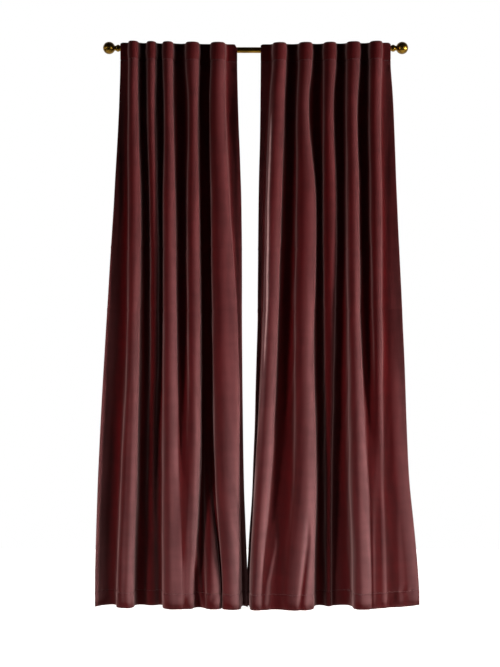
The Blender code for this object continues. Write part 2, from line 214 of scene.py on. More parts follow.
@dataclass(frozen=True)
class NodeMaker:
    """Adds nodes to one material and links them."""

    material: bpy.types.Material

    @property
    def tree(self) -> bpy.types.NodeTree:
        """The material's node tree."""
        return self.material.node_tree

    def node(self, kind: str, inputs: dict | None = None, **settings: object) -> bpy.types.Node:
        """Adds a node.

        Args:
            kind: The node's type, without its ShaderNode prefix.
            inputs: Values or output sockets for its inputs, by name or number.
            settings: Attributes of the node.

        Returns:
            The node.
        """
        made = self.tree.nodes.new("ShaderNode" + kind)
        for key, value in settings.items():
            setattr(made, key, value)
        self.feed(made, inputs or {})
        return made

    def feed(self, node: bpy.types.Node, inputs: dict) -> None:
        """Links or sets a node's inputs.

        Args:
            node: The node.
            inputs: Output sockets to link or plain values to set, by the input's name or number.
        """
        for key, value in inputs.items():
            if isinstance(value, Socket):
                self.tree.links.new(value, node.inputs[key])
            else:
                node.inputs[key].default_value = value

    def bump(self, height: Socket, distance: float, strength: float) -> Socket:
        """A normal that a height raises and sinks."""
        inputs = {"Height": height, "Distance": distance, "Strength": strength}
        return self.node("Bump", inputs).outputs["Normal"]

    def noise(self, vector: Socket, scale: float, detail: float = 2.0) -> Socket:
        """A noise texture's value, from about 0 to 1."""
        return self.node("TexNoise", {"Vector": vector, "Scale": scale, "Detail": detail}).outputs["Fac"]

    def scaled(self, vector: Socket, scale: tuple[float, float, float]) -> Socket:
        """The vector with each part multiplied."""
        return self.node("Mapping", {"Vector": vector, "Scale": scale}).outputs["Vector"]

    def ramp(self, value: Socket, stops: Sequence[tuple[float, Colour]]) -> Socket:
        """Reads a colour from a value between 0 and 1.

        Args:
            value: The value's socket.
            stops: Places on the ramp in rising order, and the colour at each.

        Returns:
            The colour's socket.
        """
        made = self.node("ValToRGB", {"Fac": value})
        elements = made.color_ramp.elements
        for place, colour in stops[2:]:
            elements.new(place).color = colour
        for element, (place, colour) in zip(elements, stops):
            element.position = place
            element.color = colour
        return made.outputs["Color"]

    def mixed(self, share: Socket | float, low: object, high: object) -> Socket:
        """A colour between low and high."""
        return self.node("MixRGB", {"Fac": share, "Color1": low, "Color2": high}).outputs["Color"]

    def product(self, first: object, second: object) -> Socket:
        """Two colours or shares multiplied."""
        inputs = {"Fac": 1.0, "Color1": first, "Color2": second}
        return self.node("MixRGB", inputs, blend_type="MULTIPLY").outputs["Color"]

    def mapped(
        self,
        value: Socket | float,
        limits: Pair,
        results: tuple[object, object] = (0.0, 1.0),
    ) -> Socket:
        """A value led from between two limits to between two results, and held there."""
        inputs = dict(zip(("Value", 1, 2, 3, 4), (value, *limits, *results)))
        return self.node("MapRange", inputs).outputs["Result"]

    def math(self, operation: str, first: object, second: object = 0.0) -> Socket:
        """The result of a sum on one or two values."""
        return self.node("Math", {0: first, 1: second}, operation=operation).outputs["Value"]


def new_material(name: str) -> tuple[bpy.types.Material, NodeMaker, bpy.types.Node]:
    """Makes a material with one Principled shader.

    Args:
        name: The material's name.

    Returns:
        The material, its node maker and its Principled node.
    """
    material = bpy.data.materials.new(name)
    material.use_nodes = True
    return material, NodeMaker(material), material.node_tree.nodes["Principled BSDF"]


def grey(level: float) -> Colour:
    """A neutral colour, used here to multiply another one."""
    return (level, level, level, 1.0)


@dataclass(frozen=True)
class VelvetFinish:
    """Short upright pile, deep red, with painted shade in its hollows and painted light on its crests, both
    stronger lower down.
    """

    name: str
    # Painted shade and light: the hollow colours are painted shade, the crest colours painted light, and
    # the low ones paint both stronger lower down.
    hollow: Colour = (0.046, 0.0007, 0.0013, 1.0)
    low_hollow: Colour = (0.023, 0.0010, 0.0013, 1.0)
    crest: Colour = (0.074, 0.0175, 0.0182, 1.0)
    low_crest: Colour = (0.096, 0.0400, 0.0405, 1.0)
    # Painted rim highlight colour.
    painted_rim_highlight: Colour = (0.400, 0.2250, 0.2150, 1.0)
    low_drops: Pair = (0.6, 2.2)  # where the low colours start and where they are full
    painted_light_limits: Pair = (0.256, 0.776)  # at the hollow's and at the crest's colour
    brushing: Pair = (0.74, 1.26)
    brushing_limits: Pair = (0.36, 0.66)
    speckle: Pair = (0.78, 1.12)
    speckle_limits: Pair = (0.30, 0.70)
    sheen_tint: Colour = (1.0, 0.62, 0.59, 1.0)
    sheen: float = 0.42
    sheen_roughness: float = 0.43
    roughness: Pair = (0.80, 0.98)
    specular: float = 0.02
    patches_per_metre: Pair = (22.0, 3.2)
    patch_detail: float = 4.0
    crush_per_metre: Pair = (9.0, 26.0)
    crush_detail: float = 3.0
    crush_share: float = 0.28
    pile_per_metre: float = 620.0
    pile_detail: float = 1.0
    bump_height: float = 0.0005
    bump_strength: float = 0.5
    seam_drops: Pair = (0.054, 2.355)
    seam_shade: float = 0.80
    seam_half_width: float = 0.0055

    def seam_tone(self, maker: NodeMaker, cloth: Socket) -> Socket:
        """How dark the pile is where a seam presses it down.

        Args:
            maker: The material's node maker.
            cloth: Place on the flat cloth, with the drop as a negative second part.

        Returns:
            A share of the full colour, 1 away from the seams.
        """
        height = maker.node("SeparateXYZ", {"Vector": cloth}).outputs["Y"]
        shares = []
        for drop in self.seam_drops:
            away = maker.math("ABSOLUTE", maker.math("ADD", height, drop))
            shares.append(maker.mapped(away, (0.0, self.seam_half_width), (self.seam_shade, 1.0)))
        return maker.math("MULTIPLY", *shares)

    def ground(self, maker: NodeMaker) -> Socket:
        """The pile's colour with its painted light and shade, from a painted light share and the drop, both
        kept in a UV map.

        Args:
            maker: The material's node maker.

        Returns:
            The colour's socket.
        """
        nap = maker.node("UVMap", uv_map="nap").outputs["UV"]
        place = maker.node("SeparateXYZ", {"Vector": nap}).outputs
        low, high = self.painted_light_limits
        pairs = ((self.hollow, self.crest), (self.low_hollow, self.low_crest))
        # Painted shade in the hollows, painted light on the crests and a painted rim highlight at the top
        # of the ramp.
        upper, lower = (
            maker.ramp(place["X"], ((low, dark), (high, pale), (1.0, self.painted_rim_highlight)))
            for dark, pale in pairs
        )
        start, end = self.low_drops
        return maker.mixed(maker.mapped(place["Y"], (-start, -end)), upper, lower)

    def material(self) -> bpy.types.Material:
        """Builds the node material.

        Returns:
            The material.
        """
        made, maker, shader = new_material(self.name)
        cloth = maker.node("UVMap", uv_map="cloth").outputs["UV"]
        patches = maker.noise(maker.scaled(cloth, (*self.patches_per_metre, 1.0)), 1.0, self.patch_detail)
        crush = maker.noise(maker.scaled(cloth, (*self.crush_per_metre, 1.0)), 1.0, self.crush_detail)
        pile = maker.noise(cloth, self.pile_per_metre, self.pile_detail)
        brushed_pile_and_painted_hollow_shade = maker.mapped(self.crush_share, (0.0, 1.0), (patches, crush))
        brushing = maker.ramp(brushed_pile_and_painted_hollow_shade, tuple(zip(self.brushing_limits, map(grey, self.brushing))))
        speckle = maker.ramp(pile, tuple(zip(self.speckle_limits, map(grey, self.speckle))))
        seamed = maker.product(self.ground(maker), self.seam_tone(maker, cloth))
        relief = maker.math("ADD", pile, patches)
        inputs = {
            "Base Color": maker.product(seamed, maker.product(brushing, speckle)),
            "Roughness": maker.mapped(brushed_pile_and_painted_hollow_shade, (0.0, 1.0), self.roughness),
            "Normal": maker.bump(relief, self.bump_height, self.bump_strength),
            "Specular IOR Level": self.specular,
            "Sheen Weight": self.sheen,
            "Sheen Roughness": self.sheen_roughness,
            "Sheen Tint": self.sheen_tint,
        }
        maker.feed(shader, inputs)
        return made


@dataclass(frozen=True)
class ThreadFinish:
    """Plain woven tape or twisted sewing thread in the panel's colour."""

    name: str
    dark: Colour
    light: Colour
    grain: Grain
    rib_scale: float = 116.667
    rib_distortion: float = 1.2
    fibre_scale: float = 900.0
    roughness: float = 0.75
    specular: float = 0.2
    sheen: float = 0.25
    bump_height: float = 0.0003
    bump_strength: float = 0.6

    def material(self) -> bpy.types.Material:
        """Builds the node material.

        Returns:
            The material.
        """
        made, maker, shader = new_material(self.name)
        place = maker.node("TexCoord").outputs["Object"]
        ribbing = {
            "Vector": maker.scaled(place, self.grain.value),
            "Scale": self.rib_scale,
            "Distortion": self.rib_distortion,
        }
        ribs = maker.node("TexWave", ribbing, bands_direction="DIAGONAL").outputs["Fac"]
        fibre = maker.noise(place, self.fibre_scale)
        share = maker.math("MULTIPLY", maker.math("ADD", ribs, fibre), 0.5)
        inputs = {
            "Base Color": maker.mixed(share, self.dark, self.light),
            "Normal": maker.bump(ribs, self.bump_height, self.bump_strength),
            "Roughness": self.roughness,
            "Specular IOR Level": self.specular,
            "Sheen Weight": self.sheen,
        }
        maker.feed(shader, inputs)
        return made


@dataclass(frozen=True)
class BrassFinish:
    """Antique brass: a darkened gold with worn, brighter highs and brown patina in clouds."""

    name: str = "antique_brass_finish"
    patina: Colour = (0.090, 0.046, 0.006, 1.0)
    gold: Colour = (0.240, 0.130, 0.016, 1.0)
    worn: Colour = (0.42, 0.27, 0.06, 1.0)
    clouds_per_metre: float = 34.0
    cloud_detail: float = 5.0
    cloud_limits: Pair = (0.30, 0.62)
    wear_limits: Pair = (0.49, 0.56)
    wear_share: float = 0.6
    roughness: Pair = (0.42, 0.26)
    roughness_limits: Pair = (0.3, 0.7)
    brushing_per_metre: tuple[float, float, float] = (60.0, 900.0, 900.0)
    bump_height: float = 0.0001
    bump_strength: float = 0.25

    def material(self) -> bpy.types.Material:
        """Builds the node material.

        Returns:
            The material.
        """
        made, maker, shader = new_material(self.name)
        place = maker.node("TexCoord").outputs["Object"]
        clouds = maker.noise(place, self.clouds_per_metre, self.cloud_detail)
        brushing = maker.noise(maker.scaled(place, self.brushing_per_metre), 1.0)
        edges = maker.node("NewGeometry").outputs["Pointiness"]
        wear = maker.math("MULTIPLY", maker.mapped(edges, self.wear_limits), self.wear_share)
        tone = maker.ramp(clouds, tuple(zip(self.cloud_limits, (self.patina, self.gold))))
        inputs = {
            "Base Color": maker.mixed(wear, tone, self.worn),
            "Roughness": maker.mapped(clouds, self.roughness_limits, self.roughness),
            "Normal": maker.bump(brushing, self.bump_height, self.bump_strength),
            "Metallic": 1.0,
        }
        maker.feed(shader, inputs)
        return made


@dataclass(frozen=True)
class FloorFinish:
    """A matt pale studio floor with a faint mottle."""

    name: str = "studio_floor"
    low: Colour = (0.86, 0.86, 0.85, 1.0)
    high: Colour = (0.90, 0.90, 0.89, 1.0)
    mottle_per_metre: float = 1.5
    mottle_detail: float = 3.0
    roughness: float = 0.8
    specular: float = 0.2
    glow: float = 1.05

    def material(self) -> bpy.types.Material:
        """Builds the node material.

        Returns:
            The material.
        """
        made, maker, shader = new_material(self.name)
        place = maker.node("TexCoord").outputs["Object"]
        mottle = maker.noise(place, self.mottle_per_metre, self.mottle_detail)
        inputs = {
            "Base Color": maker.mixed(mottle, self.low, self.high),
            "Roughness": self.roughness,
            "Specular IOR Level": self.specular,
            "Emission Color": self.high,
            "Emission Strength": self.glow,
        }
        maker.feed(shader, inputs)
        return made


# Rod and finials


@dataclass
class RodAssembly:
    """The sagging rod and its two turned finials."""

    finish: BrassFinish
    radius: float = 0.0125
    half_span: float = 0.5917
    sag: float = 0.008
    stations: int = 97
    sides: int = 48
    tip_radius: float = 0.0001
    end_round: float = 0.0008
    round_steps: int = 4
    collar_radius: float = 0.0160
    collar_length: float = 0.0140
    neck_radius: float = 0.0112
    neck_length: float = 0.0070
    neck_rings: int = 8
    ball_radius: float = 0.0266
    ball_tip_radius: float = 0.00005
    ball_rings: int = 36
    collar_rings: int = 18
    groove_depth: float = 0.0005
    groove_width: float = 0.0006

    def height(self, x: np.ndarray | float) -> np.ndarray | float:
        """Height of the rod's axis at x."""
        return self.sag * np.square(np.asarray(x) / self.half_span)

    def rod(self) -> bpy.types.Object:
        """Builds the rod as one turned tube with rounded end faces.

        Returns:
            The rod's object.
        """
        straight = self.half_span - self.end_round
        inner = np.linspace(-straight, straight, self.stations)
        quarter = np.linspace(0, math.pi / 2, self.round_steps)[:0:-1]
        ends = self.half_span - self.end_round * (1 - np.sin(quarter))
        end_radii = self.radius - self.end_round * (1 - np.cos(quarter))
        tip = [self.tip_radius]
        xs = np.concatenate([[-self.half_span], -ends, inner, ends[::-1], [self.half_span]])
        radii = np.concatenate([tip, end_radii, np.full(len(inner), self.radius), end_radii[::-1], tip])
        turn = np.linspace(0, 2 * math.pi, self.sides, endpoint=False)
        points = np.stack(
            [
                np.repeat(xs, self.sides),
                np.outer(radii, np.sin(turn)).ravel(),
                np.outer(radii, np.cos(turn)).ravel() + np.repeat(self.height(xs), self.sides),
            ],
            axis=1,
        )
        return self.dress(mesh_object("brass_rod", points, turned_quads(len(xs), self.sides)), "rod")

    def finial_outline(self) -> tuple[np.ndarray, np.ndarray]:
        """The turned outline of a finial.

        Returns:
            Distances from the rod's end and the radius at each.
        """
        turn = np.linspace(0, math.pi, self.collar_rings)
        base = np.linspace(self.radius, self.neck_radius, self.collar_rings)
        bead_x = self.collar_length / 2 * (1 - np.cos(turn))
        bead_r = base + (self.collar_radius - self.radius) * np.sin(turn)
        bead_r = bead_r - self.groove_depth * bell((bead_x - self.collar_length / 2) / self.groove_width)
        root = math.asin(self.neck_radius / self.ball_radius)
        neck_end = self.collar_length + self.neck_length
        centre = neck_end + self.ball_radius * math.cos(root)
        neck_x = np.linspace(self.collar_length, neck_end, self.neck_rings)[1:-1]
        waist = np.sin(np.linspace(0, math.pi, self.neck_rings))[1:-1]
        angles = np.linspace(root, math.pi, self.ball_rings)
        ball_x = centre - self.ball_radius * np.cos(angles)
        ball_r = np.maximum(self.ball_radius * np.sin(angles), self.ball_tip_radius)
        xs = np.concatenate([[0.0], bead_x, neck_x, ball_x])
        neck_r = self.neck_radius - self.groove_depth * waist
        radii = np.concatenate([[self.tip_radius], bead_r, neck_r, ball_r])
        return xs, radii

    def finial(self, side: Side) -> bpy.types.Object:
        """Builds one finial against its rod end.

        Args:
            side: Which end of the rod.

        Returns:
            The finial's object.
        """
        distances, radii = self.finial_outline()
        start = side.sign * (self.half_span + FIT_GAP)
        slope = 2 * self.sag * start / self.half_span**2
        tilt = math.atan(slope)
        turn = np.linspace(0, 2 * math.pi, self.sides, endpoint=False) * side.sign
        along = np.repeat(side.sign * distances, self.sides)
        y = np.outer(radii, np.sin(turn)).ravel()
        up = np.outer(radii, np.cos(turn)).ravel()
        points = np.stack(
            [
                start + along * math.cos(tilt) - up * math.sin(tilt),
                y,
                self.height(start) + along * math.sin(tilt) + up * math.cos(tilt),
            ],
            axis=1,
        )
        ball = mesh_object(f"ball_finial_{side.value}", points, turned_quads(len(distances), self.sides))
        return self.dress(ball, f"finial_{side.value}")

    def dress(self, piece: bpy.types.Object, node: str) -> bpy.types.Object:
        """Hides the solid that a piece stands for and gives the piece its place in the frame.

        Args:
            piece: The new piece.
            node: The solid that it stands for.

        Returns:
            The same piece.
        """
        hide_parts(node)
        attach(piece, BODY)
        return piece

    def build(self) -> list[bpy.types.Object]:
        """Builds the rod and both finials in the brass finish.

        Returns:
            The three objects.
        """
        pieces = [self.rod(), *(self.finial(side) for side in Side)]
        material = self.finish.material()
        for piece in pieces:
            piece.data.materials.append(material)
        return pieces


# Curtain panels


@dataclass(frozen=True)
class FoldRow:
    """One forward fold of a panel, with its values at the drops in LEVELS."""

    name: str
    left: Row  # left wall's x in mm
    right: Row  # right wall's x in mm
    reach: Row  # the crest's share of the full fold depth
    groove: Row  # the same at the bottom of the valley on its right


@dataclass(frozen=True)
class CreaseRow:
    """A small ridge (positive height) or trough that runs down the cloth, in mm."""

    name: str
    drops: Row
    x: Row
    width: float
    height: float


@dataclass(frozen=True)
class DentRow:
    """A local swelling (positive height) or dent of the cloth, in mm but for its drop in m."""

    name: str
    x: float
    drop: float
    x_radius: float
    drop_radius: float
    height: float
    lean: float = 0.0  # how far in mm its middle moves in x for each metre of drop


@dataclass(frozen=True)
class Waves:
    """One kind of seeded unevenness: its height and the usual length of its waves, in metres."""

    order: int  # added to the panel's seed
    height: float
    across: float
    down: float
    count: int = 7


@dataclass(frozen=True)
class Stitch:
    """One sewn stitch: a bent thread whose two ends dive into the cloth, sizes in metres."""

    pitch: float = 0.0046
    length: float = 0.0034
    margin: float = 0.004
    side_spacing: float = 1.5  # the side hems' pitch, in pitches
    sides: int = 6
    shares: Row = (0.0, 0.12, 0.5, 0.88, 1.0)
    heights: Row = (-0.00035, 0.00012, 0.00022, 0.00012, -0.00035)
    radii: Row = (0.00020, 0.00030, 0.00034, 0.00030, 0.00020)

    def quads(self, count: int) -> np.ndarray:
        """The faces of a row of stitches, whose points come stitch by stitch and ring by ring.

        Args:
            count: How many stitches there are.

        Returns:
            The vertex numbers of each quad.
        """
        rings = len(self.shares)
        cap = np.array([[0, 1, 2, 3], [0, 3, 4, 5]])
        last_cap = cap + (rings - 1) * self.sides
        one = np.concatenate([turned_quads(rings, self.sides), cap[:, ::-1], last_cap])
        starts = np.arange(count) * rings * self.sides
        return (one[None] + starts[:, None, None]).reshape(-1, 4)


@dataclass(frozen=True)
class PaintedHighlightRow:
    """A narrow painted highlight down the cloth, in mm but for its drops in m."""

    name: str
    drops: Row
    x: Row
    width: float
    share: float


@dataclass
class ClothGrid:
    """A panel's middle surface on an even grid of threads and rows."""

    u: np.ndarray
    drops: np.ndarray
    points: np.ndarray
    normals: np.ndarray
    half: np.ndarray
    # Painted light and shade of the pile's colour at each point.
    painted_light_share: np.ndarray

    def surface(self, u: np.ndarray, drop: np.ndarray, face: Face) -> tuple[np.ndarray, np.ndarray]:
        """Points on one face of the cloth.

        Args:
            u: Distances across the flat cloth.
            drop: Drops, as many as u.
            face: Which face.

        Returns:
            The points and the face's outward normals there.
        """
        column = np.interp(u, self.u, np.arange(len(self.u)))
        row = np.interp(drop, self.drops, np.arange(len(self.drops)))
        c = np.minimum(column.astype(int), len(self.u) - 2)
        r = np.minimum(row.astype(int), len(self.drops) - 2)
        fc, fr = column - c, row - r
        weights = ((1 - fr) * (1 - fc), (1 - fr) * fc, fr * (1 - fc), fr * fc)
        places = ((r, c), (r, c + 1), (r + 1, c), (r + 1, c + 1))
        middle = sum(w[:, None] * self.points[p] for w, p in zip(weights, places))
        normal = sum(w[:, None] * self.normals[p] for w, p in zip(weights, places))
        half = sum(w * self.half[p] for w, p in zip(weights, places))
        outward = unit(normal) * face.value
        return middle + outward * half[:, None], outward


@dataclass
class CurtainPanel:
    """One velvet panel: its folds, heading band, side edges, hem, stitch lines and back tabs."""

    side: Side
    rod: RodAssembly
    left_edge: Row
    right_edge: Row
    left_reach: Row
    right_reach: Row
    first_groove: Row
    corner_drops: Pair
    folds: tuple[FoldRow, ...]
    creases: tuple[CreaseRow, ...]
    dents: tuple[DentRow, ...]
    painted_highlights: tuple[PaintedHighlightRow, ...]
    seed: int
    width: float = 1.067
    top_rise: float = 0.021
    hem_drop: float = 2.420
    thickness: float = 0.0022
    band_depth: float = 0.075
    band_thickness: float = 0.0030
    hem_depth: float = 0.065
    hem_thickness: float = 0.0030
    side_hem: float = 0.025
    back_face: float = -0.0132
    crest_droop: float = 0.006
    droop_fade: float = 0.30
    back_shift: Row = (0.000, 0.012, 0.026, 0.034, 0.038, 0.038)  # towards the wall, at LEVELS
    box_power: float = 0.90
    wall_shares: Pair = (0.35, 0.95)  # rises of a soft and of a boxy fold
    softness: Pair = (1.0, 0.12)
    soft_steepness: float = 0.70
    band_swell: float = 0.0026
    band_swell_share: float = 1 / 3  # how far the swell reaches, in band depths
    shoulder_droop: float = 0.004
    corner_length: float = 0.012
    corner_fade: float = 0.030
    end_valley_share: float = 0.70
    depth_limits: Pair = (0.02, 0.16)
    depth_halvings: int = 30
    fine_steps: int = 40
    threads: int = 236
    row_pitch: float = 0.0138
    row_clearance: float = 0.003
    seam_rows: Row = (-5, -2, 0, 2, 5)  # rows by a seam, in mm
    packing_rows: Row = (-9, -4, 0, 4, 9)  # rows by a packing crease, in mm
    seam_dent: float = 0.0016
    seam_width: float = 0.0026
    seam_lap: float = 0.001
    fold_step: float = 0.003
    side_step: float = 0.004
    side_share: float = 0.6  # of the band's extra thickness, at the side hems
    crease_reach: Pair = (0.12, 0.32)  # reach at which a crease starts and is full
    body_fade: float = 0.25
    slow_waves: Waves = Waves(0, 0.0011, 0.16, 0.55)
    ripple: Waves = Waves(1, 0.00045, 0.045, 0.30)
    band_puckers: Waves = Waves(2, 0.0005, 0.016, 0.09)
    band_pucker_reach: float = 0.020
    hem_puckers: Waves = Waves(3, 0.0010, 0.030, 0.05)
    hem_pucker_reach: Pair = (0.016, 0.030)  # above and below the seam
    hem_waves: Waves = Waves(4, 0.0012, 0.09, 0.2)
    hem_wave_fade: float = 0.03
    packing_bow: Waves = Waves(5, 0.004, 0.5, 2.0, 3)
    packing_drops: Pair = (0.868, 1.136)
    packing_dent: float = 0.0011
    packing_width: float = 0.007
    # Painted shade on the heading band and on the hem's roll: how strong, and over what width.
    band_painted_shade: float = 0.35
    band_edge: float = 0.006
    hem_roll_painted_shade: float = 0.62
    hem_roll: float = 0.036
    # Painted light by the side edges: how strong, and how far in it fades.
    side_edge_painted_light: float = 0.64
    side_edge_light_width: float = 0.13
    # Painted shade in hollows: the window round each point, and how far forward of the cloth round it the
    # colour goes from shaded to lit.
    relief_window: float = 0.045
    relief_range: Pair = (-0.007, 0.004)  # how far forward of what lies round it
    # Painted light share of a full crest.
    crest_share: float = 0.80  # paleness of a full crest
    # Painted shade on flanks that face left, fading out on flanks that face right.
    left_flank_painted_shade: float = 0.60
    painted_flank_slopes: Pair = (-0.35, 0.75)  # darkest left flank and palest right flank
    # Reach at which a painted highlight line starts and is full.
    line_reach: Pair = (0.55, 0.85)
    rim_share: float = 0.8  # how far the rim stands out, in half thicknesses
    stitch: Stitch = Stitch()
    grid: ClothGrid | None = None
    stitches: list[bpy.types.Object] = field(default_factory=list)

    @property
    def length(self) -> float:
        """Length of the flat cloth, from its top edge to its hem."""
        return self.hem_drop + self.top_rise

    @property
    def band_seam(self) -> float:
        """Drop of the stitch line under the heading band."""
        return self.band_depth - self.top_rise

    @property
    def band_middle(self) -> float:
        """Drop of the middle of the heading band."""
        return self.band_depth / 2 - self.top_rise

    @property
    def hem_seam(self) -> float:
        """Drop of the stitch line above the hem."""
        return self.hem_drop - self.hem_depth

    def half_fold(
        self, valley: Pair, wall: float, crest: Pair, s: np.ndarray
    ) -> tuple[np.ndarray, np.ndarray]:
        """The section of half a fold: boxy where its wall is deep, a soft wave where it is shallow.

        Args:
            valley: x and reach of the valley's bottom, at s = 0.
            wall: x of the fold's wall, at s = 0.5.
            crest: x and reach of the crest, at s = 1.
            s: Places along the half fold.

        Returns:
            x in metres and reach at each place.
        """
        (valley_x, valley_reach), (crest_x, crest_reach) = valley, crest
        rise = crest_reach - valley_reach
        soft = float(np.interp(rise, self.wall_shares, self.softness))
        middle = (valley_reach + crest_reach) / 2
        half = (crest_reach - valley_reach) / 2
        sine = np.clip(np.sin(np.pi * s), 0, 1)
        cosine = np.cos(np.pi * s)
        inward = sine**self.box_power
        lower_x = valley_x + (wall - valley_x) * inward
        upper_x = crest_x - (crest_x - wall) * inward
        box_x = np.where(s <= 0.5, lower_x, upper_x)
        box_reach = middle - half * np.sign(cosine) * np.abs(cosine) ** self.box_power
        lean = wall - (valley_x + crest_x) / 2
        steep = min(rise, self.soft_steepness) * (crest_x - valley_x)
        soft_x = valley_x + (crest_x - valley_x) * s + lean * sine**2
        soft_x += steep * np.sin(2 * np.pi * s) / (2 * np.pi)
        soft_reach = middle - half * cosine
        return (1 - soft) * box_x + soft * soft_x, (1 - soft) * box_reach + soft * soft_reach

    def edge_strip(
        self, edge: Pair, valley: Pair, s: np.ndarray
    ) -> tuple[np.ndarray, np.ndarray]:
        """The section from a side edge at s = 0 to the valley beside it at s = 1.

        Args:
            edge: x and reach of the edge.
            valley: x and reach of the valley's bottom.
            s: Places along the strip.

        Returns:
            x in metres and reach at each place.
        """
        (edge_x, edge_reach), (valley_x, valley_reach) = edge, valley
        rise = 1 - np.sin(np.pi * s / 2)
        return edge_x + (valley_x - edge_x) * s, valley_reach + (edge_reach - valley_reach) * rise

    def section(self, drop: float) -> tuple[np.ndarray, np.ndarray]:
        """x in metres and reach across the whole panel at a drop, from the left edge to the right one.

        Args:
            drop: Distance below the rod's axis.

        Returns:
            The two arrays.
        """
        reached = (drop - self.band_middle) / (self.band_depth * self.band_swell_share)
        swell = self.band_swell * bell(reached)
        walls = [
            (level_value(fold.left, drop) * MM - swell, level_value(fold.right, drop) * MM + swell)
            for fold in self.folds
        ]
        grooves = [level_value(row, drop) for row in (self.first_groove, *(f.groove for f in self.folds))]
        left_x = level_value(self.left_edge, drop) * MM
        right_x = level_value(self.right_edge, drop) * MM
        valley_xs = [left_x + self.end_valley_share * (walls[0][0] - left_x)]
        valley_xs += [(near[1] + far[0]) / 2 for near, far in zip(walls, walls[1:])]
        valley_xs.append(right_x + self.end_valley_share * (walls[-1][1] - right_x))
        valleys = list(zip(valley_xs, grooves))
        along = np.linspace(0, 1, self.fine_steps + 1)
        left_edge = (left_x, level_value(self.left_reach, drop))
        parts = [self.edge_strip(left_edge, valleys[0], along)]
        for k, (fold, (left_wall, right_wall)) in enumerate(zip(self.folds, walls)):
            crest = ((left_wall + right_wall) / 2, level_value(fold.reach, drop))
            parts.append(self.half_fold(valleys[k], left_wall, crest, along[1:]))
            parts.append(self.half_fold(valleys[k + 1], right_wall, crest, along[::-1][1:]))
        right_edge = (right_x, level_value(self.right_reach, drop))
        parts.append(self.edge_strip(right_edge, valleys[-1], along[::-1][1:]))
        return np.concatenate([p[0] for p in parts]), np.concatenate([p[1] for p in parts])

    def fold_depth(self, x: np.ndarray, reach: np.ndarray) -> float:
        """The full fold depth at which a section takes up the whole flat width.

        Args:
            x: The section's x.
            reach: The section's reach.

        Returns:
            The depth in metres.
        """
        low, high = self.depth_limits
        for _ in range(self.depth_halvings):
            depth = (low + high) / 2
            if np.hypot(np.diff(x), np.diff(reach) * depth).sum() < self.width:
                low = depth
            else:
                high = depth
        return depth

    def row_drops(self) -> np.ndarray:
        """Drops of the grid's rows: even, with closer rows by the two seams and the packing creases.

        Returns:
            The drops, from the top edge to the hem.
        """
        steps = round(self.length / self.row_pitch)
        even = np.linspace(-self.top_rise, self.hem_drop, steps + 1)
        seams = (self.band_seam, self.hem_seam)
        close = [seam + offset * MM for seam in seams for offset in self.seam_rows]
        close += [crease + offset * MM for crease in self.packing_drops for offset in self.packing_rows]
        ends = (even[0], even[-1])
        kept = [d for d in even if d in ends or min(abs(d - c) for c in close) > self.row_clearance]
        return np.array(sorted([*kept, *close]))

    def creased(self, drop: float, x: np.ndarray, reach: np.ndarray) -> np.ndarray:
        """How far creases and dents push each point of a row forward.

        Args:
            drop: The row's drop.
            x: x of each point in metres.
            reach: Share of the fold depth at each point.

        Returns:
            Distances towards the room in metres.
        """
        lift = np.zeros_like(x)
        start, full = self.crease_reach
        forward = np.clip((reach - start) / (full - start), 0, 1)
        for row in self.creases:
            if drop <= row.drops[0]:
                continue
            centre = np.interp(drop, row.drops, row.x) * MM
            onset = smooth_step((drop - row.drops[0]) / (row.drops[1] - row.drops[0]))
            lift += onset * row.height * MM * bell((x - centre) / (row.width * MM)) * forward
        for row in self.dents:
            middle = (row.x + row.lean * (drop - row.drop)) * MM
            across = bell((x - middle) / (row.x_radius * MM))
            lift += row.height * MM * across * bell((drop - row.drop) / row.drop_radius)
        return lift

    def uneven(self, waves: Waves, across: np.ndarray, down: np.ndarray) -> np.ndarray:
        """One kind of unevenness over the cloth, in metres."""
        seed = self.seed + waves.order
        return waves.height * wander(seed, across, down, waves.across, waves.down, waves.count)

    def unevenness(self, u: np.ndarray, drops: np.ndarray) -> np.ndarray:
        """Small waves of the cloth along its normal, with puckers at both seams.

        Args:
            u: Distances across the flat cloth.
            drops: Drops of the rows.

        Returns:
            Distances along the normal in metres, a row for each drop.
        """
        across, down = np.meshgrid(u, drops)
        below_band, below_hem = down - self.band_seam, down - self.hem_seam
        waves = self.uneven(self.slow_waves, across, down) + self.uneven(self.ripple, across, down)
        waves *= smooth_step(below_band / self.body_fade)
        band_share = bell(below_band / self.band_pucker_reach)
        band_puckers = band_share * self.uneven(self.band_puckers, across, down)
        above, below = self.hem_pucker_reach
        hem_share = bell(below_hem / np.where(below_hem > 0, below, above))
        hem_puckers = hem_share * self.uneven(self.hem_puckers, across, down)
        hem_waves = smooth_step(below_hem / self.hem_wave_fade) * self.uneven(self.hem_waves, across, down)
        bowed = down + self.uneven(self.packing_bow, across, down)
        folded = sum(bell((bowed - crease) / self.packing_width) for crease in self.packing_drops)
        pressed = self.seam_dent / 2 * self.seam_lines(down) + self.packing_dent * folded
        return waves + band_puckers + hem_puckers + hem_waves - pressed

    def seam_lines(self, down: np.ndarray) -> np.ndarray:
        """A share of 1 on the band's and the hem's stitch lines, fading beside them."""
        return sum(bell((down - seam) / self.seam_width) for seam in (self.band_seam, self.hem_seam))

